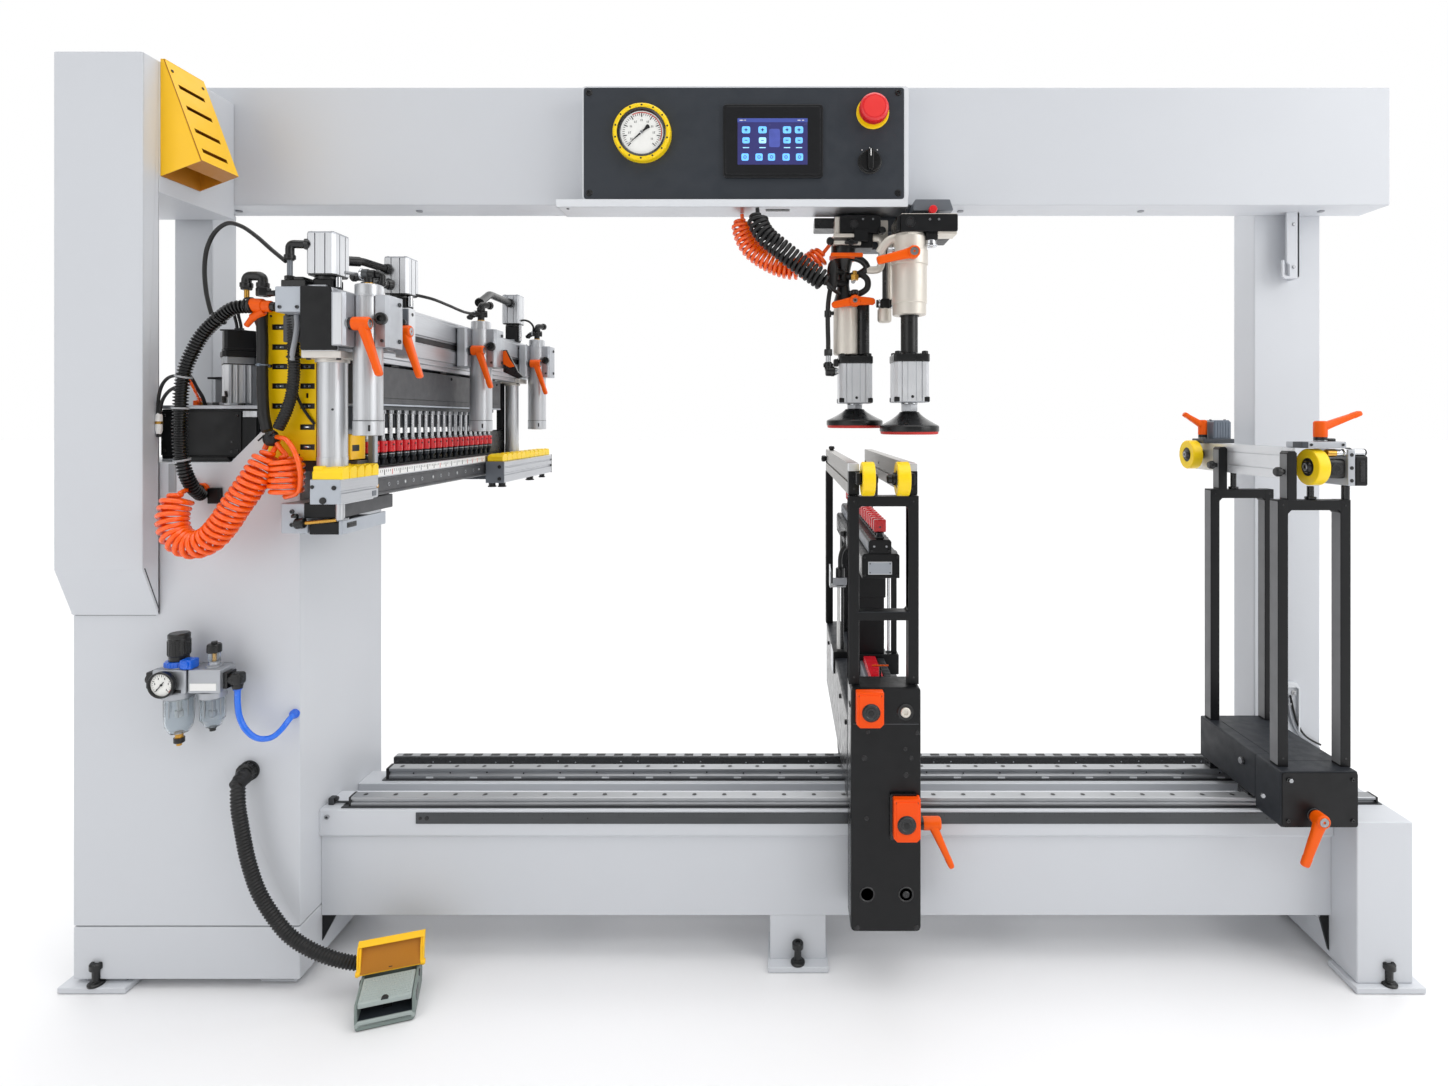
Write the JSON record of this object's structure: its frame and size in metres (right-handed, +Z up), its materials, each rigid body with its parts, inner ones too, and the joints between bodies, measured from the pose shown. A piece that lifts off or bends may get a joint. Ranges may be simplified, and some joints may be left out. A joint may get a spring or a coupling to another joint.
{
  "type": "line boring machine",
  "caption": "Woodworking line boring machine: cabinet and overhead beam, rail bed, travelling drill carriage, panel rollers, air pressers, foot pedal.",
  "frame": {"origin": "middle of the underside of the bounding box, on the floor, measured without the hoses", "axes": "+Z up, +X along the bed from the cabinet to the end column, +Y from the operator towards the back"},
  "size_m": [2.682, 1.133, 1.802],
  "materials": {
    "paint_grey": "satin",
    "slate": "satin",
    "black": "matte",
    "yellow": "satin",
    "orange": "satin",
    "aluminium": "satin",
    "steel": "satin",
    "red": "satin",
    "red_button": "gloss",
    "black_plastic": "matte",
    "yellow_rubber": "matte",
    "pedal_grey": "satin",
    "hose_black": "matte",
    "hose_blue": "gloss",
    "coil_orange": "gloss",
    "screen": "gloss",
    "dial": "gloss"
  },
  "bodies": {
    "machine": {"cabinet_column": "paint_grey", "wireway_pillar": "paint_grey", "pillar_hood": "yellow", "overhead_beam": "paint_grey", "rear_post_right": "paint_grey", "bed_front_beam": "paint_grey", "bed_rear_beam": "paint_grey", "bed_end_column": "paint_grey", "front_rail": "steel", "rear_rail": "steel", "control_box": "slate", "touch_screen": "screen", "pressure_gauge": "dial", "air_preparation_unit": "aluminium", "pedal_base": "pedal_grey", "head_frame": "slate", "valve_cover": "yellow", "drive_unit": "slate", "press_frame": "aluminium", "near_rest": "aluminium", "fence_bar": "aluminium", "overhead_carriage": "aluminium", "pedal_hose": "hose_black", "blue_hose": "hose_blue", "head_conduit": "hose_black", "head_coil": "coil_orange", "overhead_coil_orange": "coil_orange", "overhead_coil_black": "hose_black"},
    "estop": {"estop_button": "red_button"},
    "selector": {"selector_switch": "black_plastic"},
    "regulator": {"regulator_knob": "black_plastic"},
    "treadle": {"pedal_treadle": "pedal_grey"},
    "guard": {"pedal_guard": "yellow"},
    "left_head": {"left_drill_head": "slate", "left_spindles": "red"},
    "presser_1": {"presser_barrel_1": "aluminium"},
    "presser_2": {"presser_barrel_2": "aluminium"},
    "presser_3": {"presser_barrel_3": "aluminium"},
    "presser_lever_1": {"clamp_lever_1": "orange"},
    "presser_lever_2": {"clamp_lever_2": "orange"},
    "presser_lever_3": {"clamp_lever_3": "orange"},
    "presser_lever_4": {"clamp_lever_4": "orange"},
    "centre_carriage": {"centre_saddle": "slate", "centre_frame": "black"},
    "centre_head": {"centre_drill_head": "black", "centre_spindles": "red"},
    "carriage_lever": {"centre_lever": "orange"},
    "roller_left": {"centre_roller_left": "yellow_rubber"},
    "roller_right": {"centre_roller_right": "yellow_rubber"},
    "side_support": {"right_support": "black", "right_bar": "aluminium"},
    "roller_near": {"right_roller_near": "yellow_rubber"},
    "roller_far": {"right_roller_far": "yellow_rubber"},
    "support_lever": {"right_lever_front": "orange"},
    "bar_lever_near": {"right_lever_near": "orange"},
    "bar_lever_far": {"right_lever_far": "orange"},
    "pad_near": {"overhead_pad_near": "aluminium"},
    "pad_far": {"overhead_pad_far": "aluminium"},
    "pad_lever_near": {"overhead_lever_near": "orange"},
    "pad_lever_far": {"overhead_lever_far": "orange"}
  },
  "joints": [
    {"name": "left_head_feed", "type": "slide", "parent": "machine", "child": "left_head", "axis": [0, 0, 1], "range_m": [-0.055, 0]},
    {"name": "presser_1_height", "type": "slide", "parent": "machine", "child": "presser_1", "axis": [0, 0, 1], "range_m": [-0.018, 0.01]},
    {"name": "presser_1_clamp", "type": "hinge", "parent": "machine", "child": "presser_lever_1", "pos_m": [-0.721, -0.5525, 1.254], "axis": [1, 0, 0], "range_deg": [-60, 10]},
    {"name": "presser_2_height", "type": "slide", "parent": "machine", "child": "presser_2", "axis": [0, 0, 1], "range_m": [-0.018, 0.01]},
    {"name": "presser_2_clamp", "type": "hinge", "parent": "machine", "child": "presser_lever_2", "pos_m": [-0.721, -0.0275, 1.254], "axis": [1, 0, 0], "range_deg": [-60, 10]},
    {"name": "presser_3_height", "type": "slide", "parent": "machine", "child": "presser_3", "axis": [0, 0, 1], "range_m": [-0.018, 0.01]},
    {"name": "presser_3_clamp", "type": "hinge", "parent": "machine", "child": "presser_lever_3", "pos_m": [-0.721, 0.4165, 1.254], "axis": [1, 0, 0], "range_deg": [-60, 10]},
    {"name": "side_clamp", "type": "hinge", "parent": "machine", "child": "presser_lever_4", "pos_m": [-0.699, -0.4455, 1.252], "axis": [1, 0, 0], "range_deg": [-30, 10]},
    {"name": "centre_travel", "type": "slide", "parent": "machine", "child": "centre_carriage", "axis": [1, 0, 0], "range_m": [-0.75, 0.25]},
    {"name": "centre_head_lift", "type": "slide", "parent": "centre_carriage", "child": "centre_head", "axis": [0, 0, 1], "range_m": [0, 0.06]},
    {"name": "carriage_clamp", "type": "hinge", "parent": "centre_carriage", "child": "carriage_lever", "pos_m": [0.287, -0.4435, 0.312], "axis": [1, 0, 0], "range_deg": [-75, 25]},
    {"name": "centre_roller_left_spin", "type": "hinge", "parent": "centre_carriage", "child": "roller_left", "pos_m": [0.175, -0.4755, 0.973], "axis": [1, 0, 0], "continuous": true},
    {"name": "centre_roller_right_spin", "type": "hinge", "parent": "centre_carriage", "child": "roller_right", "pos_m": [0.24, -0.4755, 0.973], "axis": [1, 0, 0], "continuous": true},
    {"name": "support_travel", "type": "slide", "parent": "machine", "child": "side_support", "axis": [1, 0, 0], "range_m": [-0.3, 0.01]},
    {"name": "right_roller_near_spin", "type": "hinge", "parent": "side_support", "child": "roller_near", "pos_m": [1.034, -0.4385, 0.993], "axis": [1, 0, 0], "continuous": true},
    {"name": "right_roller_far_spin", "type": "hinge", "parent": "side_support", "child": "roller_far", "pos_m": [0.98, -0.1235, 1.003], "axis": [1, 0, 0], "continuous": true},
    {"name": "support_clamp", "type": "hinge", "parent": "side_support", "child": "support_lever", "pos_m": [1.023, -0.4735, 0.343], "axis": [0, 1, 0], "range_deg": [-60, 60]},
    {"name": "bar_clamp_near", "type": "hinge", "parent": "side_support", "child": "bar_lever_near", "pos_m": [1.06, -0.4385, 1.042], "axis": [0, 0, 1], "range_deg": [-60, 60]},
    {"name": "bar_clamp_far", "type": "hinge", "parent": "side_support", "child": "bar_lever_far", "pos_m": [1.007, -0.1235, 1.04], "axis": [0, 0, 1], "range_deg": [-60, 60]},
    {"name": "pad_near_stroke", "type": "slide", "parent": "machine", "child": "pad_near", "axis": [0, 0, 1], "range_m": [-0.045, 0]},
    {"name": "pad_far_stroke", "type": "slide", "parent": "machine", "child": "pad_far", "axis": [0, 0, 1], "range_m": [-0.045, 0]},
    {"name": "pad_near_clamp", "type": "hinge", "parent": "machine", "child": "pad_lever_near", "pos_m": [0.287, -0.3935, 1.415], "axis": [0, 1, 0], "range_deg": [-45, 45]},
    {"name": "pad_far_clamp", "type": "hinge", "parent": "machine", "child": "pad_lever_far", "pos_m": [0.179, -0.3085, 1.332], "axis": [0, 1, 0], "range_deg": [-60, 5]},
    {"name": "stop_press", "type": "slide", "parent": "machine", "child": "estop", "axis": [0, 1, 0], "range_m": [0, 0.005], "stiffness_N_per_m": 900},
    {"name": "selector_turn", "type": "hinge", "parent": "machine", "child": "selector", "pos_m": [0.209, -0.3235, 1.618], "axis": [0, 1, 0], "range_deg": [-45, 45]},
    {"name": "regulator_turn", "type": "hinge", "parent": "machine", "child": "regulator", "pos_m": [-1.088, -0.4925, 0.66], "axis": [0, 0, 1], "range_deg": [-150, 150]},
    {"name": "treadle_press", "type": "hinge", "parent": "machine", "child": "treadle", "pos_m": [-0.70092, -0.48634, 0.052], "axis": [0.9511, 0.309, 0], "range_deg": [0, 8], "stiffness_Nm_per_rad": 0.56, "springref_deg": -6.88},
    {"name": "guard_tilt", "type": "hinge", "parent": "machine", "child": "guard", "pos_m": [-0.70278, -0.48063, 0.062], "axis": [0.9511, 0.309, 0], "range_deg": [0, 80]}
  ]
}
